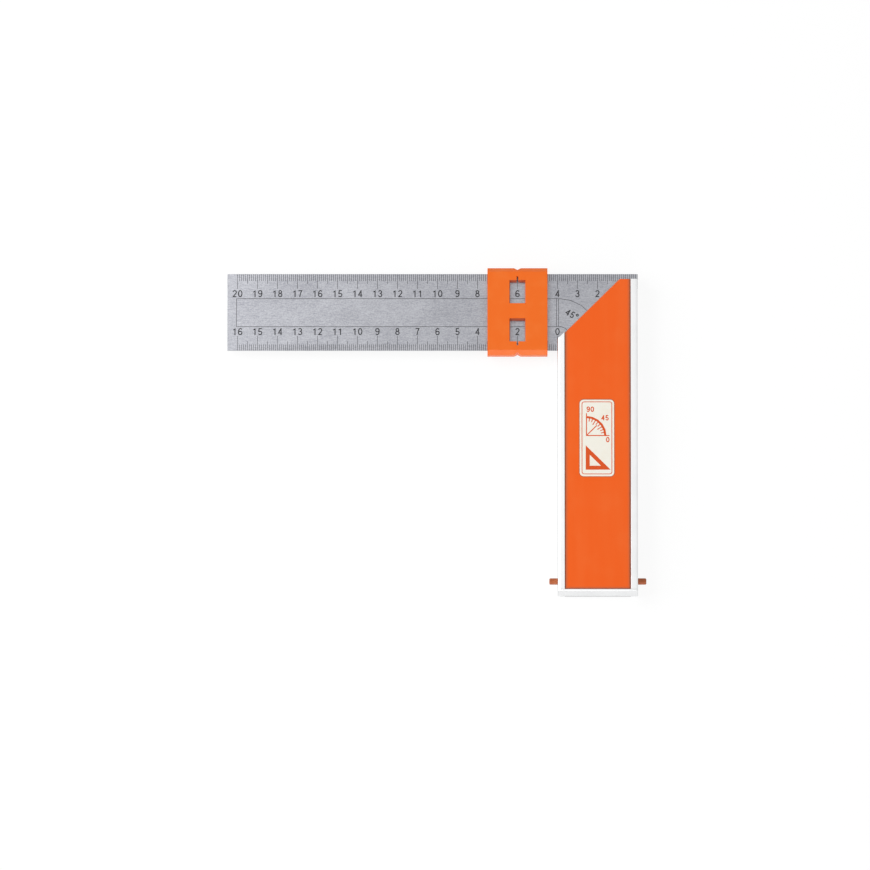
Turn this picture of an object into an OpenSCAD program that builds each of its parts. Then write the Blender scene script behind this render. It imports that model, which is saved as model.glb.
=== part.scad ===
// Adjustable set square: a steel rule set at a right angle in a mitred handle, with a slider
// that reads along the rule and a support pin that pushes through the foot of the handle.
// The origin is the inner corner of the square, on the plane that the back of the handle rests on.
// +X runs across the handle to its outer edge, +Y runs up the handle, +Z points at the front face.

/* [Blade] */
// Length of the outer scale, which starts at the handle's outer edge
scale_l = 200; // [150:5:300]
// Plain steel beyond the last mark
blade_margin = 5; // [3:0.5:10]
// Width of the blade
blade_w = 39; // [34:0.5:45]
// Thickness of the blade
blade_t = 0.9; // [0.7:0.1:1.2]
// How far the blade's hidden end stops short of the handle's outer edge
blade_short = 0.2; // [0.1:0.1:1]
// How far the blade stands above the top of the handle
blade_rise = 3.8; // [2:0.1:5]

/* [Handle] */
// Width of the handle across the rims
handle_w = 40; // [36:0.5:48]
// Thickness of the handle
handle_t = 15; // [13:0.5:18]
// Length of the handle with its end cap
handle_l = 159; // [140:1:200]
// Height of the mitre's foot above the blade's lower edge
mitre_rise = 4.6; // [3:0.1:6]
// Angle of the mitre to the handle's length
mitre_angle = 45; // [42:1:46]
// Width of the rim on each side of the panel
rim_w = 3.5; // [3:0.1:4.5]
// Radius of the rounded edges along the handle
edge_r = 1.2; // [0.5:0.1:1.5]
// Depth of the channel that holds a panel
channel_d = 1.8; // [1.6:0.1:2.2]
// Thickness of the lip that holds the panel in its channel
lip_t = 0.8; // [0.6:0.1:0.9]
// How far the lip and the panel's tongue reach past each other's shoulders
lip_reach = 0.8; // [0.6:0.1:0.9]
// Thickness of the end cap
cap_t = 1; // [0.8:0.1:2]
// Diameter of the end cap's pegs
cap_peg_d = 4; // [3:0.1:5]
// Length of the end cap's pegs
cap_peg_l = 3; // [2:0.1:3.2]
// Distance from each side of the handle to the middle of a cap peg
cap_peg_in = 9; // [7:0.5:12]

/* [Panels and labels] */
// How far a panel lies below the rims
panel_set = 0.2; // [0.1:0.05:0.3]
// Gap between a panel and the rim beside it
panel_gap = 0.3; // [0.1:0.05:0.4]
// How far a panel stops short of the mitre
panel_short = 0.4; // [0.1:0.1:1]
// Width of a label
label_w = 17.2; // [10:0.2:24]
// Height of a label
label_h = 39; // [20:0.5:60]
// Corner radius of a label
label_r = 2; // [1:0.5:4]
// Thickness of a label
label_t = 0.3; // [0.25:0.05:0.4]
// Depth of the recess that a label is set in
label_in = 0.15; // [0.1:0.05:0.2]
// Distance from the blade's lower edge down to the middle of a label
label_drop = 46; // [36:1:70]
// How far a label sits off the middle of its panel, towards the inner side
label_aside = 0.4; // [0:0.1:2]

/* [Rivets] */
// Diameter of a rivet's shank
rivet_d = 4; // [3:0.1:4.5]
// Diameter of a rivet's head
rivet_head_d = 6.4; // [5.5:0.1:7]
// Thickness of a rivet's head
rivet_head_t = 1.2; // [0.8:0.1:1.6]
// Distance from the handle's sides to the rivets
rivet_side = 10; // [8:0.5:12]
// Height of the lower rivets above the blade's lower edge
rivet_low = 6.5; // [5:0.5:8]
// Distance from the handle's top down to the upper rivet
rivet_top = 10; // [8:0.5:12]

/* [Support pin] */
// Diameter of the support pin
pin_d = 3.2; // [2.6:0.1:3.6]
// How far the pin stands out on each side, which is also its travel each way
pin_out = 4.2; // [3:0.1:5]
// Height of the pin above the foot of the handle
pin_up = 6.2; // [6:0.1:10]
// Chamfer on the pin's ends
pin_chamfer = 0.4; // [0.2:0.1:0.6]
// Diameter of the pin's waist, where the keeper holds it
waist_d = 2.2; // [1.8:0.1:2.4]
// Thickness of the keeper along the pin
keeper_t = 2.4; // [1.6:0.1:3]
// Length of the keeper along the handle
keeper_l = 7; // [6:0.5:8]
// How deep the keeper reaches below the pin's axis
keeper_deep = 3; // [2.4:0.1:3.6]
// Thickness of a friction ring's section
ring_t = 0.7; // [0.6:0.05:0.75]
// Distance from the pin's middle to each friction ring
ring_out = 12; // [11:0.5:13]

/* [Slider] */
// Reading on the inner scale that the slider stands at
slider_at = 20; // [18.2:0.1:140]
// Length of the slider along the blade
slider_w = 30; // [26:0.5:36]
// Height of the slider's rail beyond each edge of the blade
slider_rail = 2.65; // [2.5:0.05:3.5]
// Thickness of the slider
slider_t = 9; // [8:0.5:11]
// Chamfer along the slider's long edges
slider_chamfer = 2.2; // [1.5:0.1:2.4]
// Width of a window at the slider's face
window_w = 8; // [6:0.5:10]
// Height of a window at the slider's face
window_h = 11.8; // [9:0.2:13]
// How far a window's walls lean out from the blade to each face, as the mould needs
window_draft = 0.4; // [0.1:0.05:0.6]
// Distance between the middles of the two windows
window_gap = 19.5; // [18:0.5:21]
// Width of the reading notch in a window's outer edge
read_w = 0.8; // [0.6:0.1:1.2]
// Height of the reading notch
read_h = 2; // [1:0.2:2.2]
// Width of the pencil notch
pencil_w = 3.4; // [2.5:0.1:4]
// Depth of the pencil notch
pencil_d = 1.1; // [0.8:0.1:1.2]
// Length of the pocket for the leaf spring
spring_l = 18; // [12:0.5:19]
// Depth of the pocket for the leaf spring
spring_d = 0.9; // [0.7:0.1:1]
// Width of the leaf spring
spring_w = 2.4; // [1.8:0.1:3]
// Thickness of the leaf spring
spring_t = 0.25; // [0.2:0.05:0.35]
// Diameter of the pegs that join the slider's halves
joint_peg_d = 1.3; // [1:0.1:1.4]
// Length of those pegs
joint_peg_l = 2.2; // [1.5:0.1:2.6]
// Distance from the slider's ends to the pegs
joint_peg_in = 2.6; // [2:0.1:3]

/* [Fits] */
// Gap round a part that is pressed or set into another
fit_gap = 0.05; // [0.03:0.01:0.08]
// Gap between the support pin and its bore
pin_gap = 0.05; // [0.03:0.01:0.08]
// Gap between a friction ring and the bore
ring_gap = 0.02; // [0.01:0.01:0.03]
// Gap between the slider and each face of the blade
slide_gap = 0.12; // [0.08:0.02:0.2]
// Gap between the slider's rails and the blade's edges
rail_gap = 0.15; // [0.1:0.05:0.2]
// Gap between the leaf spring's crest and the blade
spring_gap = 0.03; // [0.01:0.01:0.05]

/* [Hidden] */
$fn = 64;
// Facets on the leaf spring's wide arc
arc_fn = 360;
// Overrun of every cut past the face that it breaks
over = 1;
// Heights of the middle plane, which the blade lies in, and of the channel floors
mid_z = handle_t / 2;
floor_front = handle_t - channel_d;
// Top and foot of the handle, and the foot of its extruded body
handle_top = blade_w - blade_rise;
handle_foot = handle_top - handle_l;
body_foot = handle_foot + cap_t;
body_l = handle_top - body_foot;
// The blade's ends
blade_left = handle_w - scale_l - blade_margin;
blade_right = handle_w - blade_short;
// A panel's face and tongue
panel_w = handle_w - 2 * (rim_w + panel_gap);
panel_t = channel_d - panel_set;
tongue_w = panel_w + 2 * lip_reach;
tongue_t = channel_d - lip_t - fit_gap;
// A label's lower left corner
label_left = (handle_w - label_w) / 2 - label_aside;
label_foot = -label_drop - label_h / 2;
// Rivet places: two low ones and one under the handle's top
rivet_places = [[rivet_side, rivet_low], [handle_w - rivet_side, rivet_low],
    [handle_w - rivet_side, handle_top - rivet_top]];
rivet_l = handle_t - 2 * channel_d;
// The support pin
pin_y = handle_foot + pin_up;
pin_l = handle_w + 2 * pin_out;
waist_l = keeper_t + 2 * pin_out;
bore_d = pin_d + 2 * pin_gap;
ring_od = bore_d - 2 * ring_gap;
groove_d = ring_od - 2 * ring_t;
groove_w = ring_t + 2 * fit_gap;
// The slider
slider_x = -slider_at;
slider_h = blade_w + 2 * slider_rail;
slider_mid_y = blade_w / 2;
slider_foot = -slider_rail;
slider_back_z = mid_z - slider_t / 2;
slot_h = blade_w + 2 * rail_gap;
slot_t = blade_t + 2 * slide_gap;
// The leaf spring is an arc: its crest meets the blade's edge and its ends stand on the pocket
pocket_floor = -rail_gap - spring_d;
spring_rise = -spring_gap - pocket_floor;
spring_half = spring_l / 2 - fit_gap;
spring_r = (pow(spring_half, 2) + pow(spring_rise, 2)) / (2 * spring_rise);

// A rectangle with true round corners, its lower left corner at the origin
module rounded_rect(w, h, r) {
    translate([r, 0]) square([w - 2 * r, h]);
    translate([0, r]) square([w, h - 2 * r]);
    for (x = [r, w - r], y = [r, h - r]) translate([x, y]) circle(r);
}

// Extrudes a section drawn in X and Z down the handle from the height y
module down_handle(y, l) {
    translate([0, y, 0]) rotate([90, 0, 0]) linear_extrude(l) children();
}

// Everything above the mitre, or above a line that lies set_back below it
module above_mitre(set_back = 0) {
    translate([0, mitre_rise - set_back / cos(mitre_angle), -over]) rotate([0, 0, mitre_angle])
        translate([-handle_w, 0, 0]) cube([3 * handle_w, 2 * handle_w, handle_t + 2 * over]);
}

// Section of one panel channel in the front face, with its undercut lips
module channel_section() {
    translate([rim_w, floor_front]) square([handle_w - 2 * rim_w, channel_d + over]);
    translate([rim_w - lip_reach, floor_front])
        square([handle_w - 2 * (rim_w - lip_reach), channel_d - lip_t]);
}

// Section of the extruded handle: two rims joined by a solid web
module handle_section() {
    difference() {
        rounded_rect(handle_w, handle_t, edge_r);
        channel_section();
        translate([0, handle_t]) mirror([0, 1]) channel_section();
    }
}

module rivet_hole(p) {
    translate([p[0], p[1], 0]) cylinder(d = rivet_d + 2 * fit_gap, h = handle_t);
    for (z = [channel_d - over, floor_front - rivet_head_t])
        translate([p[0], p[1], z]) cylinder(d = rivet_head_d + 2 * fit_gap, h = rivet_head_t + over);
}

module along_pin(x) {
    translate([x, pin_y, mid_z]) rotate([0, 90, 0]) children();
}

// Extruded aluminium handle, sawn square at the foot and at the mitre angle at the head
module handle_body() {
    color("gainsboro") difference() {
        down_handle(handle_top, body_l) handle_section();
        above_mitre();
        translate([-over, 0, mid_z - blade_t / 2 - fit_gap])
            cube([handle_w + 2 * over, handle_top + over, blade_t + 2 * fit_gap]);
        for (p = rivet_places) rivet_hole(p);
        along_pin(-over) cylinder(d = bore_d, h = handle_w + 2 * over);
        translate([handle_w / 2 - keeper_t / 2 - fit_gap, pin_y - keeper_l / 2 - fit_gap,
            mid_z - keeper_deep - fit_gap])
            cube([keeper_t + 2 * fit_gap, keeper_l + 2 * fit_gap, handle_t]);
        for (x = [cap_peg_in, handle_w - cap_peg_in])
            translate([x, body_foot - over, mid_z]) rotate([-90, 0, 0])
                cylinder(d = cap_peg_d + 2 * fit_gap, h = cap_peg_l + fit_gap + over);
    }
}

// Plate that closes the channels at the foot, held by two pressed pegs
module end_cap() {
    color("silver") {
        down_handle(body_foot, cap_t) rounded_rect(handle_w, handle_t, edge_r);
        for (x = [cap_peg_in, handle_w - cap_peg_in])
            translate([x, body_foot - cap_t / 2, mid_z]) rotate([-90, 0, 0])
                cylinder(d = cap_peg_d, h = cap_peg_l + cap_t / 2);
    }
}

// Stainless rule, drilled for the rivets
module blade() {
    color("lightslategray") difference() {
        translate([blade_left, 0, mid_z - blade_t / 2]) cube([blade_right - blade_left, blade_w, blade_t]);
        for (p = rivet_places)
            translate([p[0], p[1], 0]) cylinder(d = rivet_d + 2 * fit_gap, h = handle_t);
    }
}

module blade_rivets() {
    color("silver") for (p = rivet_places) translate([p[0], p[1], channel_d]) {
        cylinder(d = rivet_d, h = rivet_l);
        for (z = [0, rivet_l - rivet_head_t]) translate([0, 0, z])
            cylinder(d = rivet_head_d, h = rivet_head_t);
    }
}

// A panel of the front face, slid up its channel from the foot
module panel() {
    difference() {
        down_handle(handle_top, body_l) union() {
            translate([(handle_w - panel_w) / 2, floor_front]) square([panel_w, panel_t]);
            translate([(handle_w - tongue_w) / 2, floor_front]) square([tongue_w, tongue_t]);
        }
        above_mitre(panel_short);
        translate([label_left - fit_gap, label_foot - fit_gap, floor_front + panel_t - label_in])
            linear_extrude(label_in + over)
                rounded_rect(label_w + 2 * fit_gap, label_h + 2 * fit_gap, label_r);
    }
}

module label() {
    translate([label_left, label_foot, floor_front + panel_t - label_in])
        linear_extrude(label_t) rounded_rect(label_w, label_h, label_r);
}

// What lies on the front face, turned over to the back face
module on_back() {
    translate([0, 0, handle_t]) mirror([0, 0, 1]) children();
}

module front_panel() { color("orangered") panel(); }
module back_panel() { color("orangered") on_back() panel(); }
module front_label() { color("ivory") label(); }
module back_label() { color("ivory") on_back() label(); }

// Half of the pin's outline from its middle to one end: waist, shoulder, ring groove, chamfer
pin_half = [
    [waist_d / 2, 0],
    [waist_d / 2, waist_l / 2],
    [pin_d / 2, waist_l / 2],
    [pin_d / 2, ring_out - groove_w / 2],
    [groove_d / 2, ring_out - groove_w / 2],
    [groove_d / 2, ring_out + groove_w / 2],
    [pin_d / 2, ring_out + groove_w / 2],
    [pin_d / 2, pin_l / 2 - pin_chamfer],
    [pin_d / 2 - pin_chamfer, pin_l / 2],
    [0, pin_l / 2]
];

module support_pin() {
    pin_mirrored = [for (i = [len(pin_half) - 1 : -1 : 1]) [pin_half[i][0], -pin_half[i][1]]];
    color("chocolate") along_pin(handle_w / 2)
        rotate_extrude() polygon(concat(pin_mirrored, [for (i = [1 : len(pin_half) - 1]) pin_half[i]]));
}

// Rubber ring in one of the pin's grooves: two of them hold the pin wherever it is pushed
module pin_ring(side) {
    along_pin(handle_w / 2 + side * ring_out)
        rotate_extrude() translate([ring_od / 2 - ring_t / 2, 0]) circle(d = ring_t);
}

module pin_ring_left() { color("dimgray") pin_ring(-1); }
module pin_ring_right() { color("dimgray") pin_ring(1); }

// Fork dropped into a pocket under the front panel, straddling the pin's waist
module pin_keeper() {
    fork_w = waist_d + 2 * pin_gap;
    keeper_h = floor_front - mid_z + keeper_deep - fit_gap;
    color("goldenrod") translate([handle_w / 2 - keeper_t / 2, pin_y, mid_z - keeper_deep])
        rotate([90, 0, 90]) linear_extrude(keeper_t) difference() {
            translate([-keeper_l / 2, 0]) square([keeper_l, keeper_h]);
            translate([-fork_w / 2, -over]) square([fork_w, keeper_deep + over]);
            translate([0, keeper_deep]) circle(d = fork_w);
        }
}

// The slider's outer form: a bar with chamfered long edges
module slider_block() {
    c = slider_chamfer;
    translate([slider_x - slider_w / 2, slider_foot, slider_back_z])
        rotate([90, 0, 90]) linear_extrude(slider_w) polygon([
            [c, 0], [slider_h - c, 0], [slider_h, c], [slider_h, slider_t - c],
            [slider_h - c, slider_t], [c, slider_t], [0, slider_t - c], [0, c]]);
}

// V cut through the slider's edge for a pencil point, pointing along +Y from the lower edge
module pencil_notch() {
    slope = pencil_w / 2 / pencil_d;
    linear_extrude(handle_t) polygon([[-pencil_w / 2 - slope * over, -over],
        [pencil_w / 2 + slope * over, -over], [0, pencil_d]]);
}

// A window through both halves, which flares from its share of the size at the blade
module window() {
    wall_h = slider_t / 2;
    blade_share = 1 - 2 * window_draft / window_w;
    cut_share = 1 + (1 - blade_share) * over / wall_h;
    for (face = [0, 1]) translate([0, 0, mid_z]) mirror([0, 0, face])
        linear_extrude(wall_h + over, scale = cut_share / blade_share)
            square([window_w, window_h] * blade_share, center = true);
}

// What is cut from both halves: the blade's way, two windows, the notches and the spring pocket
module slider_cuts() {
    translate([slider_x - slider_w / 2 - over, -rail_gap, mid_z - slot_t / 2])
        cube([slider_w + 2 * over, slot_h, slot_t]);
    for (side = [-1, 1]) translate([slider_x, slider_mid_y + side * window_gap / 2, 0]) {
        window();
        read_mid = side * (window_h + read_h - over) / 2;
        translate([-read_w / 2, read_mid - (read_h + over) / 2, 0])
            cube([read_w, read_h + over, handle_t]);
    }
    translate([slider_x, slider_foot, 0]) pencil_notch();
    translate([slider_x, slider_foot + slider_h, 0]) mirror([0, 1, 0]) pencil_notch();
    translate([slider_x - spring_l / 2, pocket_floor, mid_z - spring_w / 2 - fit_gap])
        cube([spring_l, spring_d + over, spring_w + 2 * fit_gap]);
}

// The four pegs or their sockets, on the rails' middle lines
module slider_pegs(d, l) {
    rail_mid = (slider_rail - rail_gap) / 2;
    for (x = [-1, 1] * (slider_w / 2 - joint_peg_in), y = [rail_mid, slider_h - rail_mid])
        translate([slider_x + x, slider_foot + y, mid_z - l]) cylinder(d = d, h = l + over);
}

module slider_half(z) {
    difference() {
        intersection() {
            slider_block();
            translate([slider_x - slider_w, slider_foot - over, z])
                cube([2 * slider_w, slider_h + 2 * over, handle_t]);
        }
        slider_cuts();
    }
}

module slider_front() {
    color("darkorange") {
        slider_half(mid_z);
        slider_pegs(joint_peg_d, joint_peg_l);
    }
}

module slider_back() {
    color("darkorange") difference() {
        slider_half(mid_z - handle_t);
        slider_pegs(joint_peg_d + 2 * fit_gap, joint_peg_l + fit_gap);
    }
}

// Bowed steel strip that presses the slider against the blade's upper edge
module slider_spring() {
    color("silver") translate([slider_x, pocket_floor + spring_rise - spring_r, mid_z - spring_w / 2])
        linear_extrude(spring_w) intersection() {
            difference() {
                circle(spring_r, $fn = arc_fn);
                circle(spring_r - spring_t, $fn = arc_fn);
            }
            translate([-spring_half, spring_r - spring_rise]) square([2 * spring_half, spring_rise + over]);
        }
}

handle_body();
end_cap();
blade();
blade_rivets();
front_panel();
back_panel();
front_label();
back_label();
support_pin();
pin_ring_left();
pin_ring_right();
pin_keeper();
slider_front();
slider_back();
slider_spring();
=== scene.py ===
import math
import bmesh
import bpy
from mathutils import Matrix, Vector
from mathutils.geometry import delaunay_2d_cdt


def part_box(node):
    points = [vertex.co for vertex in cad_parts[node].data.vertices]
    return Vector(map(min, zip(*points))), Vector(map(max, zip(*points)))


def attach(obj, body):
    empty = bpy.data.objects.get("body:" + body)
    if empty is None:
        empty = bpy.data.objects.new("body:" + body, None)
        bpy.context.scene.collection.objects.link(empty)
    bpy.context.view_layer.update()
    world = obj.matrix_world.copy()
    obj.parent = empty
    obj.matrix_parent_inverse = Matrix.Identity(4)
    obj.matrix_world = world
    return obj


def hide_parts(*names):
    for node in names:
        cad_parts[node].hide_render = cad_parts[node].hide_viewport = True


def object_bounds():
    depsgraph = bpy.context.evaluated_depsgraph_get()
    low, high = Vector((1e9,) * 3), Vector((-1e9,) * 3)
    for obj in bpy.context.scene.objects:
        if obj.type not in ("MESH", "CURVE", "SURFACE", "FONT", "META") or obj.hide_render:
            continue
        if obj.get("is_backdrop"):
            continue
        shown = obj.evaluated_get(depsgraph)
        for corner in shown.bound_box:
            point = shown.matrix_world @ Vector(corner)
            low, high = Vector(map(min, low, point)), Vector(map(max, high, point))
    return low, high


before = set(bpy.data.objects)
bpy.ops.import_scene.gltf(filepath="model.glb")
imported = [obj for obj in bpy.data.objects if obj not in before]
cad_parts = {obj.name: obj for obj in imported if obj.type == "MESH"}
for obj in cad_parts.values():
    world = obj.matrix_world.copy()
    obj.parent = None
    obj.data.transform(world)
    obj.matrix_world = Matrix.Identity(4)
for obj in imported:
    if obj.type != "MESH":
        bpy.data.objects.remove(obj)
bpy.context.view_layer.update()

# Handle body
# A bar of extruded aluminium with a channel in each face, sawn at 45 degrees at its head.
# Its rims stay bare and satin, with the fine lines of the die along them, and the sawn faces
# keep the marks of the saw. The outer edges are rubbed dull, and grime with painted shade
# darkens the channels beside the panels.
MM = 0.001
MERGE_GAP = 0.002 * MM
FLAT_ANGLE = math.radians(0.5)
SHARP_ANGLE = math.radians(30)
TOUCH = 0.01
RIM_W = 3.5
RIM_BLEND = 0.02
HANDLE_EDGE_R = 1.2
HANDLE_BREAK = 0.25 * MM
FOOT_ZONE = 10
SAWN_TILT = (0.5, 0.6)
ALUMINIUM = (0.83, 0.835, 0.84, 1)
ALUMINIUM_DULL = (0.68, 0.685, 0.69, 1)
EDGE_RUB = 0.6
EDGE_RUB_MOST = 0.8
# Grime with painted shade in the channels: a dark floor, darker still beside the rims.
CHANNEL_FLOOR_SHADE = (0.5, 0.36, 0.3, 1)
CHANNEL_GRIME_AND_SHADE = (0.44, 0.22, 0.12, 1)
GRIME_SHADE_DEPTH = (0.05, 0.4)
GRIME_SHADE_REACH = 0.9
# A near-black painted shadow along the lower edge of the foot, between the rims.
FOOT_SHADOW = (0.07, 0.07, 0.07, 1)
FOOT_SHADOW_Z = 1.1


def linear(red, green, blue):
    """A colour as a screen shows it, 0 to 255 a channel, as the shader takes it."""
    shares = [value / 255 for value in (red, green, blue)]
    curved = [s / 12.92 if s <= 0.04045 else ((s + 0.055) / 1.055) ** 2.4 for s in shares]
    return (*curved, 1)


class Wire:
    """An output socket in a node tree. Maths written on wires adds the Math nodes it needs."""

    def __init__(self, tree, socket):
        self.tree = tree
        self.socket = socket

    def math(self, operation, *others):
        return self.tree.node("ShaderNodeMath", {"operation": operation}, enumerate((self, *others)))

    def __add__(self, other):
        return self.math("ADD", other)

    def __sub__(self, other):
        return self.math("SUBTRACT", other)

    def __rsub__(self, other):
        return self.math("MULTIPLY_ADD", -1, other)

    def __mul__(self, other):
        return self.math("MULTIPLY", other)

    def __mod__(self, other):
        return self.math("MODULO", other)

    def __abs__(self):
        return self.math("ABSOLUTE")

    def equals(self, value):
        return self.math("COMPARE", value, 0.1)

    def at_least(self, value):
        return self.math("MAXIMUM", value)

    def at_most(self, value):
        return self.math("MINIMUM", value)

    def between(self, low, high):
        """0 at low and below, 1 at high and above, and smooth between them."""
        sockets = {"Value": self, "From Min": low, "From Max": high}
        return self.tree.node("ShaderNodeMapRange", {"interpolation_type": "SMOOTHSTEP"}, sockets)

    def mix(self, first, second):
        """The first colour where this wire is 0, and the second where it is 1."""
        sockets = {"Factor": self, "A": first, "B": second}
        return self.tree.node("ShaderNodeMix", {"data_type": "RGBA"}, sockets)


class Tree:
    """A node tree. Its node method adds any node: settings first, then values or wires."""

    def __init__(self, tree):
        self.tree = tree

    @staticmethod
    def pick(sockets, key):
        live = [socket for socket in sockets if socket.enabled]
        if isinstance(key, int):
            return live[key]
        return next(socket for socket in live if socket.name == key)

    def node(self, kind, settings=(), sockets=(), out=0):
        made = self.tree.nodes.new(kind)
        for name, value in dict(settings).items():
            setattr(made, name, value)
        for key, value in dict(sockets).items():
            socket = self.pick(made.inputs, key)
            if isinstance(value, Wire):
                self.tree.links.new(value.socket, socket)
            else:
                socket.default_value = value
        return Wire(self, self.pick(made.outputs, out)) if made.outputs else made


class Finish(Tree):
    """A material made of nodes, whose patterns are laid out in millimetres on the object."""

    def __init__(self, name):
        self.material = bpy.data.materials.new(name)
        self.material.use_nodes = True
        super().__init__(self.material.node_tree)
        self.tree.nodes.clear()

    def place(self, grain=(1, 1, 1)):
        """Object coordinates, scaled so that one unit is a grain of that many millimetres."""
        here = self.node("ShaderNodeTexCoord", out="Object")
        scale = [1 / (size * MM) for size in grain]
        return self.node("ShaderNodeMapping", {}, {"Vector": here, "Scale": scale})

    def along(self, axis, vector):
        """One axis of a vector."""
        return self.node("ShaderNodeSeparateXYZ", {}, {"Vector": vector}, axis)

    def noise(self, grain, detail=2, roughness=0.5):
        """Soft noise, from 0 to 1, whose grains have those sizes in millimetres."""
        sockets = {"Vector": self.place(grain), "Scale": 1, "Detail": detail, "Roughness": roughness}
        return self.node("ShaderNodeTexNoise", {}, sockets, "Fac")

    def specks(self, grain, least):
        """1 in a few small spots of the surface, and 0 elsewhere."""
        return self.noise(grain, 3).between(least, least + 0.03)

    def close(self, sockets, height=None, depth=0):
        """Ends the material in its surface, with relief of that depth in millimetres."""
        if height is not None:
            bump = {"Strength": 1, "Distance": depth * MM, "Height": height}
            sockets["Normal"] = self.node("ShaderNodeBump", {}, bump)
        shader = self.node("ShaderNodeBsdfPrincipled", {}, sockets)
        self.node("ShaderNodeOutputMaterial", {}, {"Surface": shader})
        return self.material


def clean_copy(node):
    """A bmesh of a CAD node, with its doubles merged and its flat faces joined."""
    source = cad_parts[node].data
    loose = bpy.data.meshes.new(node + "_copy")
    loose.from_pydata([v.co for v in source.vertices], [], [p.vertices[:] for p in source.polygons])
    bm = bmesh.new()
    bm.from_mesh(loose)
    bpy.data.meshes.remove(loose)
    bmesh.ops.remove_doubles(bm, verts=bm.verts, dist=MERGE_GAP)
    bmesh.ops.dissolve_limit(bm, angle_limit=FLAT_ANGLE, verts=bm.verts, edges=bm.edges)
    return bm


def new_object(name, data):
    """An object with that data, in the scene."""
    obj = bpy.data.objects.new(name, data)
    bpy.context.scene.collection.objects.link(obj)
    return obj


def plain_mesh(obj, name):
    """The object with its modifiers worked in, as a new plain mesh."""
    bpy.context.view_layer.update()
    evaluated = obj.evaluated_get(bpy.context.evaluated_depsgraph_get())
    mesh = bpy.data.meshes.new_from_object(evaluated)
    mesh.name = name
    return mesh


def rounded(bm, name, width, share_of=None, segments=3):
    """Rounds the sharp edges of a bmesh. share_of gives an edge's share of the width."""
    weights = bm.edges.layers.float.new("bevel_weight_edge")
    for edge in bm.edges:
        if edge.is_manifold and edge.calc_face_angle() > SHARP_ANGLE:
            ends = [vert.co / MM for vert in edge.verts]
            edge[weights] = share_of(*ends) if share_of else 1
            edge.smooth = edge[weights] > 0
    for face in bm.faces:
        face.smooth = True
    mesh = bpy.data.meshes.new(name + "_sharp")
    bm.to_mesh(mesh)
    bm.free()
    obj = new_object(name, mesh)
    bevel = obj.modifiers.new("Bevel", "BEVEL")
    bevel.limit_method = "WEIGHT"
    bevel.width = width
    bevel.segments = segments
    bevel.use_clamp_overlap = True
    bevel.harden_normals = True
    obj.data = plain_mesh(obj, name)
    obj.modifiers.clear()
    bpy.data.meshes.remove(mesh)
    return obj


def fit(obj, material, body, slot, *nodes):
    """Finishes a piece: its material, the body it rides on and the CAD nodes it stands for."""
    obj.data.materials.clear()
    obj.data.materials.append(material)
    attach(obj, body)
    if nodes:
        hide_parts(*nodes)
    return obj


def box_of(node):
    """The lowest and highest corner of a CAD node, in millimetres."""
    return [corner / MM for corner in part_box(node)]


handle_low, handle_high = box_of("handle_body")
handle_w = handle_high.x
handle_t = handle_high.z


def on_skin(point):
    """Whether a point lies on the outer skin of the handle."""
    by_face = min(point.z, handle_t - point.z) < TOUCH
    by_side = min(point.x, handle_w - point.x) < HANDLE_EDGE_R + TOUCH
    return by_face or by_side


def handle_share(a, b):
    """The skin's edges are broken, but not inside, nor at the foot, where the cap sits flush."""
    near_foot = max(a.y, b.y) < handle_low.y + FOOT_ZONE
    return 1 if on_skin(a) and on_skin(b) and not near_foot else 0


def satin_aluminium(name, at_foot):
    """Bare aluminium with die lines along it and saw marks on the faces across it, with grime and
    painted shade in the channels, and at the foot a painted shadow line.
    """
    paint = Finish(name)
    lines = paint.noise((0.3, 40, 0.3), 3)
    saw = paint.noise((0.22, 0.22, 14), 2)
    cloud = paint.noise((9, 9, 9), 2)
    nicks = paint.specks((0.7, 0.7, 0.7), 0.72)
    facing = paint.along("Y", paint.node("ShaderNodeTexCoord", out="Normal"))
    sawn = abs(facing).between(*SAWN_TILT)
    relief = lines * 0.5 + sawn * (saw * 3 - lines)
    here = paint.place()
    up = paint.along("Z", here)
    from_side = handle_w / 2 - abs(paint.along("X", here) - handle_w / 2)
    below_face = handle_t / 2 - abs(up - handle_t / 2)
    rubbed = (1 - from_side.between(0, EDGE_RUB)) * EDGE_RUB_MOST
    dull = (cloud.between(0.35, 0.7) * 0.25 + nicks * 0.4 + rubbed).at_most(1)
    between_rims = from_side.between(RIM_W - RIM_BLEND, RIM_W)
    if at_foot:
        # Painted shadow: the lowest part of the foot between the rims is near black.
        grime_shade_mask = between_rims * (1 - up.between(FOOT_SHADOW_Z / 2, FOOT_SHADOW_Z))
        grime_shade_colour = FOOT_SHADOW
    else:
        # Grime with painted shade: the channel below the face is darkened, most beside the rims.
        grime_shade_mask = between_rims * below_face.between(*GRIME_SHADE_DEPTH) * (1 - sawn)
        grime_shade_colour = from_side.between(RIM_W, RIM_W + GRIME_SHADE_REACH).mix(CHANNEL_GRIME_AND_SHADE, CHANNEL_FLOOR_SHADE)
    return paint.close({
        "Base Color": grime_shade_mask.mix(dull.mix(ALUMINIUM, ALUMINIUM_DULL), grime_shade_colour),
        "Roughness": lines * 0.12 + cloud * 0.08 + sawn * 0.08 + 0.24,
        "Metallic": 1 - grime_shade_mask,
    }, relief - nicks * 1.5, 0.003)


aluminium = satin_aluminium("satin_aluminium", at_foot=False)
handle = rounded(clean_copy("handle_body"), "handle_rims", HANDLE_BREAK, handle_share)
fit(handle, aluminium, "square", "bare_aluminium", "handle_body")

# End cap
# A plate of the same aluminium that closes the two channels at the foot of the handle.
# It is pressed in by two pegs, the edges of its foot are broken, and a painted shadow darkens its lower
# edge between the rims.
CAP_BREAK = 0.22 * MM


def cap_share(a, b):
    """Only the edges of the foot's face are broken."""
    return 1 if max(a.y, b.y) < handle_low.y + TOUCH else 0


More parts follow.
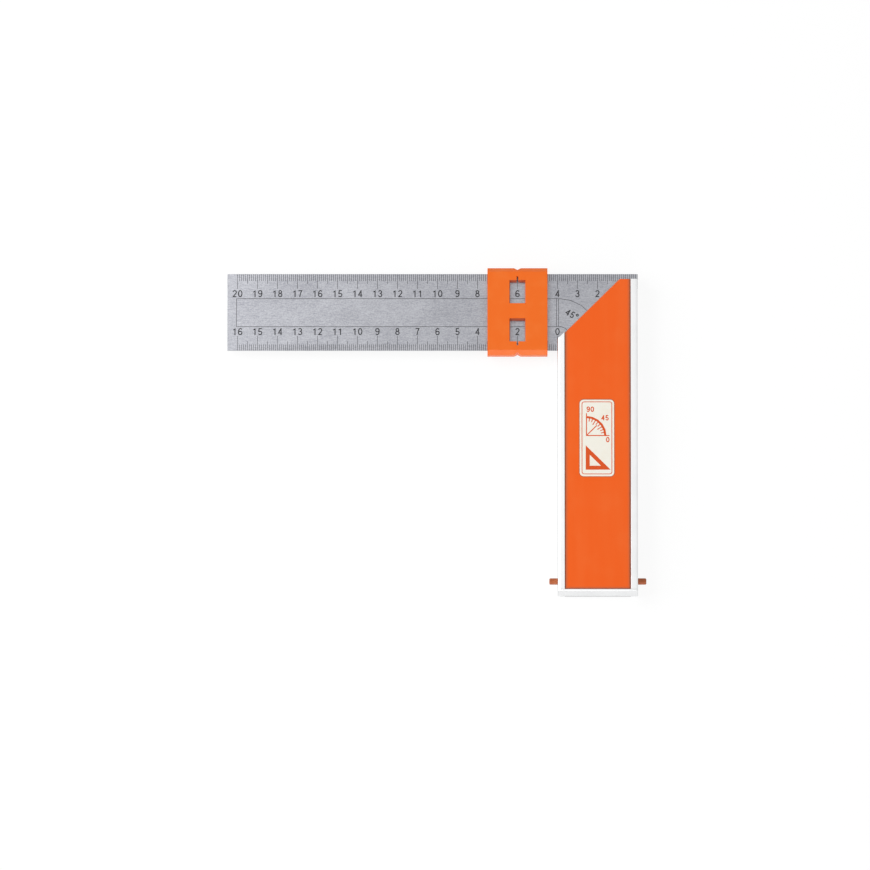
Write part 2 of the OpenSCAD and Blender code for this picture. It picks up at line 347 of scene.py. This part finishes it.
cap = rounded(clean_copy("end_cap"), "foot_plate", CAP_BREAK, cap_share)
fit(cap, satin_aluminium("cap_aluminium", at_foot=True), "square", "cap_aluminium", "end_cap")

# Blade
# A stainless rule, ground along its length and left with sharp square edges.
# It sits in the handle's slot, and three rivets under the panels keep it square.
BLADE_BREAK = 0.06 * MM
BLADE_HEAD = 1
LONG_EDGE = 10
STEEL_PALE = linear(181, 182, 187)
STEEL_DARK = linear(134, 135, 142)

blade_low, blade_high = box_of("blade")


def ground_steel():
    """Stainless steel with fine grinding lines along the blade, and a few faint scratches."""
    paint = Finish("ground_steel")
    lines = paint.noise((3.5, 0.2, 0.2), 4, 0.65)
    fleck = paint.noise((0.7, 0.45, 0.45), 3)
    cloud = paint.noise((26, 14, 14), 2)
    scratch = paint.noise((5, 0.22, 0.22), 1).between(0.76, 0.8)
    tone = lines * 0.45 + fleck * 0.4 + cloud * 0.15
    base = tone.between(0.3, 0.7).mix(STEEL_DARK, STEEL_PALE)
    return paint.close({
        "Base Color": scratch.mix(base, STEEL_PALE),
        "Roughness": lines * 0.14 + cloud * 0.06 + 0.23,
        "Metallic": 1,
    }, lines * 0.7 + fleck * 0.3, 0.005)


def blade_share(a, b):
    """All edges are broken but the short ones of the head, at the handle's outer edge."""
    return 1 if max(a.x, b.x) < handle_w - BLADE_HEAD or abs(a.x - b.x) > LONG_EDGE else 0


blade = rounded(clean_copy("blade"), "steel_rule", BLADE_BREAK, blade_share, 2)
fit(blade, ground_steel(), "square", "etched_steel", "blade")

# Scale marks
# Millimetre marks are etched in both faces of the rule, from both edges, and filled dark.
# The outer scale starts at the handle's outer edge and the inner scale at its inner face.
ETCH_RISE = 0.012
ETCH_SINK = 0.03
ETCH_T = ETCH_RISE + ETCH_SINK
MARK_W = 0.2
OUTER_SHORT = 3.5
OUTER_MIDDLE = 5
INNER_SHORT = 3.1
INNER_MIDDLE = 4.7
MARK_LONG = 7.5
OUTER_MARKS = 200
INNER_MARKS = 160
ETCH = linear(18, 18, 22)
ETCH_WORN = linear(50, 51, 56)


def etch_ink():
    """Dark etching, a little worn where the slider and the hand have rubbed it."""
    paint = Finish("etch_ink")
    worn = paint.noise((1.4, 1.1, 1.1), 3).between(0.5, 0.75)
    return paint.close({
        "Base Color": worn.mix(ETCH, ETCH_WORN),
        "Roughness": paint.noise((0.3, 0.3, 0.3)) * 0.2 + 0.5,
        "Metallic": 0,
    })


class Bars(Tree):
    """A geometry tree with named inputs, which ends in a flat inked bar on each point of a row."""

    def __init__(self, name, *lengths, **others):
        group = bpy.data.node_groups.new(name, "GeometryNodeTree")
        kinds = {"Count": "Int", **dict.fromkeys((*lengths, "Width", "Depth"), "Float"),
                 "Material": "Material", **others}
        for label, kind in kinds.items():
            group.interface.new_socket(name=label, in_out="INPUT", socket_type="NodeSocket" + kind)
        group.interface.new_socket(name="Geometry", in_out="OUTPUT", socket_type="NodeSocketGeometry")
        super().__init__(group)

    def given(self, name):
        return self.node("NodeGroupInput", out=name)

    def vector(self, **parts):
        return self.node("ShaderNodeCombineXYZ", {}, parts)

    def close(self, row, size, turn=(0, 0, 0)):
        """Ends the tree in bars of that size, turned like that, on the points of the row."""
        bar = self.node("GeometryNodeMeshCube", {}, {"Size": (1, 1, 1)})
        sockets = {"Points": row, "Instance": bar, "Scale": size, "Rotation": turn}
        bars = self.node("GeometryNodeInstanceOnPoints", {}, sockets)
        whole = self.node("GeometryNodeRealizeInstances", {}, {"Geometry": bars})
        sockets = {"Geometry": whole, "Material": self.given("Material")}
        inked = self.node("GeometryNodeSetMaterial", {}, sockets)
        self.node("NodeGroupOutput", {}, {"Geometry": inked})
        return self.tree


def marks_tree():
    """A row of marks along -X: one a millimetre, with longer ones at the fives and tens."""
    tree = Bars("scale_marks", "Pitch", "Inward", "Short", "Middle", "Long", Start="Vector")
    index = tree.node("GeometryNodeInputIndex")
    tens = (index % 10).equals(0)
    fives = (index % 5).equals(0)
    length = tree.given("Short") + fives * (tree.given("Middle") - tree.given("Short"))
    length = length + tens * (tree.given("Long") - tree.given("Middle"))
    step = tree.vector(X=tree.given("Pitch") * -1)
    sockets = {"Count": tree.given("Count"), "Offset": step, "Start Location": tree.given("Start")}
    row = tree.node("GeometryNodeMeshLine", {}, sockets)
    lean = tree.vector(Y=length * tree.given("Inward") * 0.5)
    row = tree.node("GeometryNodeSetPosition", {}, {"Geometry": row, "Offset": lean})
    return tree.close(row, tree.vector(X=tree.given("Width"), Y=length, Z=tree.given("Depth")))


def grown(name, group, values):
    """A plain mesh made by a geometry tree with those named inputs."""
    obj = new_object(name, bpy.data.meshes.new(name + "_seed"))
    modifier = obj.modifiers.new("Grow", "NODES")
    modifier.node_group = group
    for item in group.interface.items_tree:
        if item.name in values:
            modifier[item.identifier] = values[item.name]
    mesh = plain_mesh(obj, name)
    bpy.data.objects.remove(obj)
    return mesh


def joined(name, meshes):
    """One object that holds all those meshes."""
    bm = bmesh.new()
    for mesh in meshes:
        bm.from_mesh(mesh)
    whole = bpy.data.meshes.new(name)
    bm.to_mesh(whole)
    bm.free()
    for mesh in meshes:
        bpy.data.meshes.remove(mesh)
    return new_object(name, whole)


def etch_z(front):
    """Middle height of the etching on one face of the blade."""
    lift = ETCH_RISE - ETCH_T / 2
    return blade_high.z + lift if front else blade_low.z - lift


ink = etch_ink()
marks = marks_tree()
rows = []
for front in (True, False):
    for count, first_x, edge_y, inward, short, middle in (
            (OUTER_MARKS, handle_w, blade_high.y, -1, OUTER_SHORT, OUTER_MIDDLE),
            (INNER_MARKS, 0, blade_low.y, 1, INNER_SHORT, INNER_MIDDLE)):
        rows.append(grown("mark_row", marks, {
            "Count": count + 1, "Pitch": MM, "Start": Vector((first_x, edge_y, etch_z(front))) * MM,
            "Inward": float(inward), "Short": short * MM, "Middle": middle * MM,
            "Long": MARK_LONG * MM, "Width": MARK_W * MM, "Depth": ETCH_T * MM, "Material": ink}))
fit(joined("scale_marks", rows), ink, "square", None)

# Scale numbers
# Plain figures are etched at every centimetre, upright beside the long marks.
# They are drawn with a cutter of one width, and those of the back face read from behind.
DIGIT_H = 3.55
DIGIT_LINE = 0.5
DIGIT_PITCH_SHARE = 0.777
DIGIT_MIDDLE_SHARE = 0.32
OUTER_DIGIT_Y = 29.02
INNER_DIGIT_Y = 9.65
ANGLE_H = 3.3
ANGLE_LINE = 0.5
ANGLE_PLACE = (7.5, 18.2)
ANGLE_TURN = math.radians(-31)
CM = 10
ARC_STEP = 18
JOIN_GAP = 1e-4


def arc(x, y, across, up, start, end):
    """Points along part of an ellipse, between two angles in degrees."""
    steps = max(2, round(abs(end - start) / ARC_STEP))
    angles = [math.radians(start + (end - start) * i / steps) for i in range(steps + 1)]
    return [(x + across * math.cos(a), y + up * math.sin(a)) for a in angles]


# The middle lines of each figure's strokes, as shares of its height.
FIGURES = {
    "0": [arc(0.32, 0.5, 0.24, 0.435, 90, 450)],
    "1": [[(0.12, 0.71), (0.37, 0.86), (0.37, 0)]],
    "2": [arc(0.32, 0.7, 0.225, 0.235, 170, -40) + [(0.11, 0.065), (0.56, 0.065)]],
    "3": [arc(0.31, 0.735, 0.2, 0.2, 165, -90) + [(0.24, 0.535)],
          [(0.24, 0.535)] + arc(0.31, 0.3, 0.235, 0.235, 90, -165)],
    "4": [[(0.44, 0), (0.44, 1)], [(0.44, 0.92), (0.09, 0.29), (0.62, 0.29)]],
    "5": [[(0.55, 0.935), (0.185, 0.935), (0.11, 0.45)], arc(0.31, 0.305, 0.24, 0.24, 142, -158)],
    "6": [arc(0.325, 0.305, 0.235, 0.24, 0, 360), arc(0.35, 0.5, 0.26, 0.435, 42, 195)],
    "7": [[(0.07, 0.935), (0.54, 0.935), (0.36, 0.55), (0.25, 0)]],
    "8": [arc(0.32, 0.74, 0.19, 0.195, 0, 360), arc(0.32, 0.3, 0.235, 0.235, 0, 360)],
    "9": [arc(0.315, 0.695, 0.235, 0.24, 0, 360), arc(0.29, 0.5, 0.26, 0.435, 222, 375)],
    "°": [arc(0.19, 0.83, 0.15, 0.15, 0, 360)],
}


def stroke(points, width):
    """The quads of a line of that width through those points, with mitred corners."""
    shut = math.dist(points[0], points[-1]) < JOIN_GAP
    line = [Vector(point) for point in (points[:-1] if shut else points)]
    count = len(line)
    sides = []
    for i, point in enumerate(line):
        ways = [(b - a).normalized() for a, b in ((line[i - 1], point), (point, line[(i + 1) % count]))]
        if not shut and i == 0:
            ways[0] = ways[1]
        if not shut and i == count - 1:
            ways[1] = ways[0]
        across = (ways[0] + ways[1]).normalized().orthogonal()
        reach = across * width / 2 / across.dot(ways[0].orthogonal())
        sides.append((point - reach, point + reach))
    pairs = zip(sides, sides[1:] + sides[:1] if shut else sides[1:])
    return [(right, next_right, next_left, left) for (right, left), (next_right, next_left) in pairs]


def plate(quads, height):
    """A closed plate in millimetres, centred on Z zero, of what those quads cover together."""
    corners = [corner for quad in quads for corner in quad]
    faces = [list(range(4 * i, 4 * i + 4)) for i in range(len(quads))]
    points, _, tiles, _, _, owners = delaunay_2d_cdt(corners, [], faces, 1, JOIN_GAP)
    tiles = [tile for tile, owner in zip(tiles, owners) if owner]
    sides = {(a, b) for tile in tiles for a, b in zip(tile, tile[1:] + tile[:1])}
    bm = bmesh.new()
    floor = [bm.verts.new((x, y, -height / 2)) for x, y in points]
    roof = [bm.verts.new((x, y, height / 2)) for x, y in points]
    for tile in tiles:
        bm.faces.new([roof[i] for i in tile])
        bm.faces.new([floor[i] for i in reversed(tile)])
    for a, b in sides:
        if (b, a) not in sides:
            bm.faces.new((floor[a], floor[b], roof[b], roof[a]))
    bmesh.ops.delete(bm, geom=[v for v in bm.verts if not v.link_faces], context="VERTS")
    bmesh.ops.recalc_face_normals(bm, faces=bm.faces)
    mesh = bpy.data.meshes.new("plate")
    bm.to_mesh(mesh)
    bm.free()
    return mesh


def written(words, height, width):
    """The quads of those figures, centred on the origin."""
    first = -DIGIT_PITCH_SHARE * (len(words) - 1) / 2 - DIGIT_MIDDLE_SHARE
    quads = []
    for place, figure in enumerate(words):
        shift = first + DIGIT_PITCH_SHARE * place
        for points in FIGURES[figure]:
            quads += stroke([((x + shift) * height, (y - 0.5) * height) for x, y in points], width)
    return quads


def on_blade(quads, x=0, y=0, front=True, turn=0):
    """Those quads etched in one face of the blade, with their origin at x and y."""
    mesh = plate(quads, ETCH_T)
    facing = Matrix.Rotation(0 if front else math.pi, 4, "Y")
    place = Matrix.Translation(Vector((x, y, etch_z(front))) * MM)
    mesh.transform(place @ facing @ Matrix.Rotation(turn, 4, "Z") @ Matrix.Scale(MM, 4))
    return mesh


numbers = []
for front in (True, False):
    for first, count, zero_x, y in (
            (1, OUTER_MARKS, handle_w, OUTER_DIGIT_Y), (0, INNER_MARKS, 0, INNER_DIGIT_Y)):
        for reading in range(first, count // CM + 1):
            quads = written(str(reading), DIGIT_H, DIGIT_LINE)
            numbers.append(on_blade(quads, zero_x - CM * reading, y, front))
    turn = ANGLE_TURN if front else -ANGLE_TURN
    numbers.append(on_blade(written("45°", ANGLE_H, ANGLE_LINE), *ANGLE_PLACE, front, turn))
fit(joined("scale_numbers", numbers), ink, "square", None)

# Frame lines and arcs
# Fine etched lines frame the blank middle of the rule, and two arcs span the mitre's angle.
# They are cut with the scale and filled with the same dark ink.
LINE_W = 0.22
FRAME_HALF = 7.15
FRAME_DROP = 0.2
FRAME_LEFT = -160.5
FRAME_RIGHT = 0.5
ARC_CENTRE = (0.5, 6.1)
# Each arc's radius, and the angles in degrees where it starts and ends.
ARC_LARGE = (20.4, 89, 40)
ARC_SMALL = (6.2, 88, 35)

middle_y = (blade_low.y + blade_high.y) / 2 - FRAME_DROP
frame_low = middle_y - FRAME_HALF
frame_high = middle_y + FRAME_HALF
border = [(FRAME_RIGHT, frame_low), (FRAME_RIGHT, frame_high), (FRAME_LEFT, frame_high),
          (FRAME_LEFT, frame_low), (FRAME_RIGHT, frame_low)]
quads = stroke(border, LINE_W) + stroke([(-FRAME_RIGHT, frame_low), (-FRAME_RIGHT, frame_high)], LINE_W)
for radius, start, end in (ARC_LARGE, ARC_SMALL):
    quads += stroke(arc(*ARC_CENTRE, radius, radius, start, end), LINE_W)
mirrored = [[Vector((-corner.x, corner.y)) for corner in quad[::-1]] for quad in quads]
lines = [on_blade(quads), on_blade(mirrored, front=False)]
fit(joined("frame_lines", lines), ink, "square", None)

# Blade rivets
# Three steel rivets go through the handle's web and the blade, and hold it square.
# The panels hide them, so they keep the plain turned finish.
TOOL_SHADE = 0.85


def turned_metal(name, colour, roughness):
    """Plain turned metal with faint tool marks."""
    paint = Finish(name)
    rings = paint.noise((0.3, 0.3, 2), 3)
    shaded = (*(TOOL_SHADE * channel for channel in colour[:3]), 1)
    return paint.close({
        "Base Color": rings.mix(colour, shaded),
        "Roughness": rings * 0.15 + roughness,
        "Metallic": 1,
    }, rings, 0.004)


def keep_node(name, material):
    """A CAD node whose shape is right keeps its mesh and gets its finish."""
    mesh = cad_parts[name].data
    mesh.materials.clear()
    mesh.materials.append(material)


keep_node("blade_rivets", turned_metal("rivet_steel", linear(190, 191, 193), 0.3))

# Panels
# Two orange plastic inlays slide up the channels from the foot, one on each face.
# They are extruded with soft edges and a fine matt grain, and sawn with the handle.
# Dust lies on them, and grime with painted shade darkens them beside the rims, at the foot and round
# the label.
PANEL_EDGE = 0.5 * MM
PANEL_ORANGE = linear(252, 100, 18)
PANEL_PALE = linear(253, 115, 46)
PANEL_GAP = 0.3
# Grime with painted shade: colour and reach of the darkening beside the rims, the foot and the label.
GRIME_AND_SHADE = linear(115, 104, 84)
GRIME_SHADE_IN = 1.8
GRIME_SHADE_MOST = 0.58
LABEL_R = 2
LABEL_GRIME_SHADE_IN = 0.8
LABEL_GRIME_SHADE_SHARE = 0.8
RECESS_ZONE = 0.1
RECESS_SHARE = 0.1
PLASTIC_SHINE = 0.25

panel_foot = box_of("front_panel")[0].y
panel_half = handle_w / 2 - RIM_W - PANEL_GAP
label_low, label_high = box_of("front_label")
label_middle = (label_low + label_high) / 2
label_half = (label_high - label_low) / 2


def panel_plastic():
    """Orange plastic with a fine grain, a little dust, and grime with painted shade along the rims, the
    foot and the label.
    """
    paint = Finish("panel_plastic")
    grain = paint.noise((0.28, 0.28, 0.28), 3)
    drift = paint.noise((7, 60, 7), 2)
    cloud = paint.noise((14, 14, 14), 2)
    dust = paint.specks((0.5, 0.6, 0.5), 0.73)
    here = paint.place()
    across = paint.along("X", here)
    up = paint.along("Y", here)
    beside_rim = abs(across - handle_w / 2).between(panel_half - GRIME_SHADE_IN, panel_half + PANEL_GAP)
    by_foot = 1 - (up - panel_foot).between(-PANEL_GAP, GRIME_SHADE_IN)
    corner_x = (abs(across - label_middle.x) - (label_half.x - LABEL_R)).at_least(0)
    corner_y = (abs(up - label_middle.y) - (label_half.y - LABEL_R)).at_least(0)
    from_label = (corner_x * corner_x + corner_y * corner_y).math("SQRT") - LABEL_R
    by_label = (1 - from_label.between(0, LABEL_GRIME_SHADE_IN)) * LABEL_GRIME_SHADE_SHARE
    tone = drift.between(0.4, 0.75) * 0.25 + cloud.between(0.45, 0.75) * 0.2 + dust * 0.4
    uneven = paint.noise((0.9, 2.5, 0.9)) * 0.3 + 0.85
    # Painted shade with grime: darker beside the rims, at the foot and round the label.
    grime_shade_mask = beside_rim.at_least(by_foot).at_least(by_label) * uneven * GRIME_SHADE_MOST
    return paint.close({
        "Base Color": grime_shade_mask.mix(tone.mix(PANEL_ORANGE, PANEL_PALE), GRIME_AND_SHADE),
        "Roughness": grain * 0.14 + cloud * 0.1 + 0.38,
        "Specular IOR Level": PLASTIC_SHINE,
    }, grain, 0.008)


def panel_share(node):
    """The edges of the panel's outer face are rounded, and those of the label's recess barely."""
    low, high = box_of(node)
    face = high.z if high.z > handle_t / 2 else low.z

    def share(a, b):
        if max(abs(a.z - face), abs(b.z - face)) > TOUCH:
            return 0
        by_label = (abs((a.x + b.x) / 2 - label_middle.x) < label_half.x + RECESS_ZONE
                    and min(a.y, b.y) < label_high.y + RECESS_ZONE
                    and max(a.y, b.y) > label_low.y - RECESS_ZONE)
        return RECESS_SHARE if by_label else 1

    return share


plastic = panel_plastic()
for side in ("front", "back"):
    node = side + "_panel"
    inlay = rounded(clean_copy(node), side + "_inlay", PANEL_EDGE, panel_share(node), 4)
    fit(inlay, plastic, "square", "orange_panel", node)

# Labels
# A cream plate is set in a shallow recess of each panel, with a fine orange border.
# Its print is a plain quarter dial of degrees over the outline of a drawing triangle.
LABEL_EDGE = 0.08 * MM
PRINT_RISE = 0.015
PRINT_SINK = 0.04
PRINT_T = PRINT_RISE + PRINT_SINK
BORDER_IN = 1.15
BORDER_R = 1.1
BORDER_W = 0.38
DIAL_CENTRE = (-5.2, 1.2)
DIAL_R = 9.4
DIAL_RING = 1.1
DIAL_LINE = 0.5
DIAL_TICKS = 9
TICK_SHORT = 1.6
TICK_LONG = 2.6
TICK_W = 0.45
ARM_L = 11.4
DIAL_FIGURES = (("90", 1.9, 13.4), ("45", 9.25, 9.05), ("0", 10.6, -2.1))
DIAL_DIGIT_H = 2.6
DIAL_DIGIT_LINE = 0.5
SQUARE_CORNER = (-4.6, -15.2)
SQUARE_SIDE = 9
SQUARE_LINE = 2
CREAM = linear(255, 252, 240)
CREAM_DEEP = linear(252, 244, 226)
PRINT_ORANGE = linear(228, 88, 30)
PRINT_WORN = linear(240, 112, 58)


def label_plastic():
    """Cream plastic, a little yellowed in clouds."""
    paint = Finish("label_plastic")
    cloud = paint.noise((6, 6, 6), 3)
    grain = paint.noise((0.4, 0.4, 0.4), 2)
    return paint.close({
        "Base Color": cloud.between(0.45, 0.8).mix(CREAM, CREAM_DEEP),
        "Roughness": grain * 0.08 + 0.32,
        "Specular IOR Level": PLASTIC_SHINE,
    }, grain, 0.003)


def print_ink():
    """Orange printing ink, worn pale in small spots."""
    paint = Finish("print_ink")
    worn = paint.noise((0.8, 0.8, 0.8), 3).between(0.6, 0.78)
    return paint.close({
        "Base Color": worn.mix(PRINT_ORANGE, PRINT_WORN),
        "Roughness": worn * 0.15 + 0.35,
        "Specular IOR Level": PLASTIC_SHINE,
    })


def ticks_tree():
    """Ticks round a quarter of a circle, with a longer one at every third."""
    tree = Bars("dial_ticks", "Radius", "Short", "Long")
    place = tree.node("GeometryNodeInputIndex") + 1
    angle = place.math("DIVIDE", tree.given("Count")) * (math.pi / 2)
    length = tree.given("Short") + (place % 3).equals(0) * (tree.given("Long") - tree.given("Short"))
    reach = tree.given("Radius") - length * 0.5
    spot = tree.vector(X=reach * angle.math("COSINE"), Y=reach * angle.math("SINE"))
    sockets = {"Count": tree.given("Count") - 1, "Offset": (0, 0, 0)}
    row = tree.node("GeometryNodeMeshLine", {}, sockets)
    row = tree.node("GeometryNodeSetPosition", {}, {"Geometry": row, "Position": spot})
    size = tree.vector(X=length, Y=tree.given("Width"), Z=tree.given("Depth"))
    return tree.close(row, size, tree.vector(Z=angle))


def border_line():
    """A rectangle with round corners, just inside the label's edge."""
    reach_x = label_half.x - BORDER_IN - BORDER_R
    reach_y = label_half.y - BORDER_IN - BORDER_R
    points = []
    for x, y, start in ((1, 1, 0), (-1, 1, 90), (-1, -1, 180), (1, -1, 270)):
        points += arc(x * reach_x, y * reach_y, BORDER_R, BORDER_R, start, start + 90)
    return points + points[:1]


def label_quads():
    """All that is printed on a label but the dial's ticks, about the label's middle."""
    x, y = DIAL_CENTRE
    slant = (tick_r - TICK_SHORT) * math.sqrt(0.5)
    quads = stroke(border_line(), BORDER_W)
    quads += stroke([(x, y + ARM_L), (x, y), (x + ARM_L, y)], DIAL_LINE)
    quads += stroke([(x, y), (x + slant, y + slant)], DIAL_LINE)
    quads += stroke(arc(x, y, DIAL_R, DIAL_R, 0, 90), DIAL_RING)
    for reading, across, up in DIAL_FIGURES:
        for quad in written(reading, DIAL_DIGIT_H, DIAL_DIGIT_LINE):
            quads.append([corner + Vector((x + across, y + up)) for corner in quad])
    x, y = SQUARE_CORNER
    return quads + stroke([(x, y), (x + SQUARE_SIDE, y), (x, y + SQUARE_SIDE), (x, y)], SQUARE_LINE)


# The radius of the ring's inner side, where the ticks start.
tick_r = DIAL_R - DIAL_RING / 2
cream = label_plastic()
orange_ink = print_ink()
ticks = ticks_tree()
for side in ("front", "back"):
    front = side == "front"
    node = side + "_label"
    low, high = box_of(node)
    label = rounded(clean_copy(node), side + "_plate", LABEL_EDGE, segments=2)
    fit(label, cream, "square", "cream_label", node)
    print_mesh = plate(label_quads(), PRINT_T)
    tick_mesh = grown("tick_ring", ticks, {
        "Count": DIAL_TICKS, "Radius": tick_r, "Short": TICK_SHORT, "Long": TICK_LONG, "Width": TICK_W,
        "Depth": PRINT_T, "Material": orange_ink})
    tick_mesh.transform(Matrix.Translation((*DIAL_CENTRE, 0)))
    printed = joined(side + "_print", [print_mesh, tick_mesh])
    lift = PRINT_RISE - PRINT_T / 2
    centre = Vector((label_middle.x, label_middle.y, high.z + lift if front else low.z - lift)) * MM
    facing = Matrix.Rotation(0 if front else math.pi, 4, "Y")
    printed.data.transform(Matrix.Translation(centre) @ facing @ Matrix.Scale(MM, 4))
    fit(printed, orange_ink, "square", None)

# Support pin
# An orange plastic pin goes through the foot of the handle and stands out on both sides.
# A brass fork holds its waist, and two rubber rings hold it where it is pushed.
PIN_EDGE = 0.12 * MM
PIN_ORANGE = linear(182, 98, 58)
PIN_WORN = linear(190, 122, 84)
RUBBER_BLACK = linear(34, 34, 35)
RUBBER_BLOOM = linear(58, 58, 60)


def pin_plastic():
    """Orange-brown plastic, rubbed pale along the pin."""
    paint = Finish("pin_plastic")
    grain = paint.noise((0.25, 0.25, 0.25), 3)
    rub = paint.noise((2, 0.5, 0.5), 3).between(0.5, 0.75)
    return paint.close({
        "Base Color": rub.mix(PIN_ORANGE, PIN_WORN),
        "Roughness": grain * 0.15 + 0.35,
        "Specular IOR Level": PLASTIC_SHINE,
    }, grain, 0.006)


def ring_rubber():
    """Black rubber with a grey bloom."""
    paint = Finish("ring_rubber")
    bloom = paint.noise((0.5, 0.5, 0.5), 3)
    return paint.close({
        "Base Color": bloom.mix(RUBBER_BLACK, RUBBER_BLOOM),
        "Roughness": bloom * 0.2 + 0.6,
    }, bloom, 0.006)


pin = rounded(clean_copy("support_pin"), "push_pin", PIN_EDGE, segments=2)
fit(pin, pin_plastic(), "support_pin", "orange_pin", "support_pin")
keep_node("pin_keeper", turned_metal("keeper_brass", linear(205, 168, 96), 0.28))
rubber = ring_rubber()
keep_node("pin_ring_left", rubber)
keep_node("pin_ring_right", rubber)

# Slider
# Two moulded shells close round the blade and are pegged together at their four corners.
# Each has two windows with a reading notch, and the edges have a notch for a pencil point.
# Painted shade darkens the windows' upright walls.
SLIDER_EDGE = 0.4 * MM
SEAM_ZONE = 0.8
SEAM_SHARE = 0.2
SLIDER_ORANGE = linear(250, 113, 26)
SLIDER_PALE = linear(254, 138, 60)
# Painted shade on the windows' upright walls: its colour and strength.
WALL_SHADE = linear(134, 36, 10)
WALL_SHADE_MOST = 0.4
WALL_TILT = (0.3, 0.6)
WALL_ZONE = (5, 17)
WALL_BLEND = 0.1

slider_middle = sum(box_of("slider_front"), Vector()) / 2


def slider_plastic():
    """Orange plastic with a fine grain and scuffs along the slide, and painted shade on the windows'
    walls.
    """
    paint = Finish("slider_plastic")
    grain = paint.noise((0.35, 0.35, 0.35), 3)
    cloud = paint.noise((9, 9, 9), 2)
    scuff = paint.noise((0.5, 2.4, 0.5), 3).between(0.68, 0.76)
    tone = cloud.between(0.4, 0.8) * 0.3 + scuff * 0.3
    here = paint.place()
    facing = paint.along("Z", paint.node("ShaderNodeTexCoord", out="Normal"))
    # Painted shade: the upright walls within the windows' zone are darkened.
    painted_wall_shade = 1 - abs(facing).between(*WALL_TILT)
    for axis, middle, reach in zip("XY", slider_middle, WALL_ZONE):
        from_middle = abs(paint.along(axis, here) - middle)
        painted_wall_shade = painted_wall_shade * (1 - from_middle.between(reach - WALL_BLEND, reach))
    return paint.close({
        "Base Color": (painted_wall_shade * WALL_SHADE_MOST).mix(tone.mix(SLIDER_ORANGE, SLIDER_PALE), WALL_SHADE),
        "Roughness": grain * 0.1 + scuff * 0.12 + 0.32,
        "Specular IOR Level": PLASTIC_SHINE,
    }, grain, 0.005)


seam_z = handle_t / 2


def slider_share(a, b):
    """Full rounding outside, and a fine break at the seam."""
    by_seam = max(abs(a.z - seam_z), abs(b.z - seam_z)) < SEAM_ZONE
    return SEAM_SHARE if by_seam else 1


glossy = slider_plastic()
for side in ("front", "back"):
    node = "slider_" + side
    shell = rounded(clean_copy(node), side + "_shell", SLIDER_EDGE, slider_share)
    fit(shell, glossy, "slider", "orange_slider", node)
keep_node("slider_spring", turned_metal("spring_steel", linear(170, 172, 176), 0.25))

# Stage
# A pale floor and soft studio lamps: a wide key at the left, a small one over the rule's end,
# and a fill low in front. A long lens looks down from the foot's side, as the photograph does.
WHITE = (1, 1, 1, 1)
CAMERA_TILT = math.radians(11.5)
CAMERA_LENS = 1000
CAMERA_SENSOR = 36
VIEW_W = 0.43454
VIEW_CENTRE = Vector((-61.225, -43.02, 7.5)) * MM
FLOOR_HALF = 4
FLOOR_DROP = 0.05 * MM
FLOOR_SHOWN = (0.16, 0.16, 0.16, 1)
FLOOR_BOUNCE = (0.7, 0.7, 0.7, 1)
FLOOR_GLOW = 0.87
WORLD_FILL = 0.49


def seen_directly(tree):
    """1 for rays from the camera, mirrors and glass, and 0 for those that carry light."""
    camera_ray, mirror_ray, glass_ray = [
        tree.node("ShaderNodeLightPath", out=name)
        for name in ("Is Camera Ray", "Is Glossy Ray", "Is Transmission Ray")]
    return (camera_ray + mirror_ray + glass_ray).at_most(1)


def floor_paint():
    """White where it is looked at, with the object's shadow, and a plain matt floor for the light."""
    paint = Finish("floor_paint")
    seen = seen_directly(paint)
    matt = paint.node("ShaderNodeBsdfDiffuse", {}, {"Color": seen.mix(FLOOR_BOUNCE, FLOOR_SHOWN)})
    glow = paint.node("ShaderNodeEmission", {}, {"Color": WHITE, "Strength": seen * FLOOR_GLOW})
    both = paint.node("ShaderNodeAddShader", {}, {0: matt, 1: glow})
    paint.node("ShaderNodeOutputMaterial", {}, {"Surface": both})
    return paint.material


floor_bm = bmesh.new()
bmesh.ops.create_grid(floor_bm, x_segments=1, y_segments=1, size=FLOOR_HALF)
floor_mesh = bpy.data.meshes.new("floor")
floor_bm.to_mesh(floor_mesh)
floor_bm.free()
floor_mesh.transform(Matrix.Translation((0, 0, -FLOOR_DROP)))
floor_mesh.materials.append(floor_paint())
new_object("floor", floor_mesh)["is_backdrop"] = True

world = bpy.data.worlds.new("studio")
world.use_nodes = True
world.node_tree.nodes.clear()
air = Tree(world.node_tree)
strength = seen_directly(air) * (1 - WORLD_FILL) + WORLD_FILL
sky = air.node("ShaderNodeBackground", {}, {"Color": WHITE, "Strength": strength})
air.node("ShaderNodeOutputWorld", {}, {"Surface": sky})
bpy.context.scene.world = world


def lamp(name, place, size, watts):
    """A soft square lamp that faces the middle of the object."""
    light = bpy.data.lights.new(name, "AREA")
    light.shape = "SQUARE"
    light.size = size
    light.energy = watts
    obj = new_object(name, light)
    obj.location = place
    obj.rotation_euler = (VIEW_CENTRE - Vector(place)).to_track_quat("-Z", "Y").to_euler()


lamp("key_lamp", (-1.2, 0.1, 0.95), 1.3, 10.5)
lamp("blade_lamp", (-0.365, 0.15, 0.66), 0.3, 0.76)
lamp("fill_lamp", (-0.05, -1.4, 0.28), 0.8, 7.2)

camera = bpy.data.cameras.new("camera")
camera.lens = CAMERA_LENS
camera.sensor_width = CAMERA_SENSOR
viewpoint = new_object("camera", camera)
distance = VIEW_W * CAMERA_LENS / CAMERA_SENSOR
viewpoint.location = VIEW_CENTRE + distance * Vector((0, -math.sin(CAMERA_TILT), math.cos(CAMERA_TILT)))
viewpoint.rotation_euler = (CAMERA_TILT, 0, 0)
bpy.context.scene.camera = viewpoint
bpy.context.scene.view_settings.view_transform = "Standard"

low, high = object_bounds()
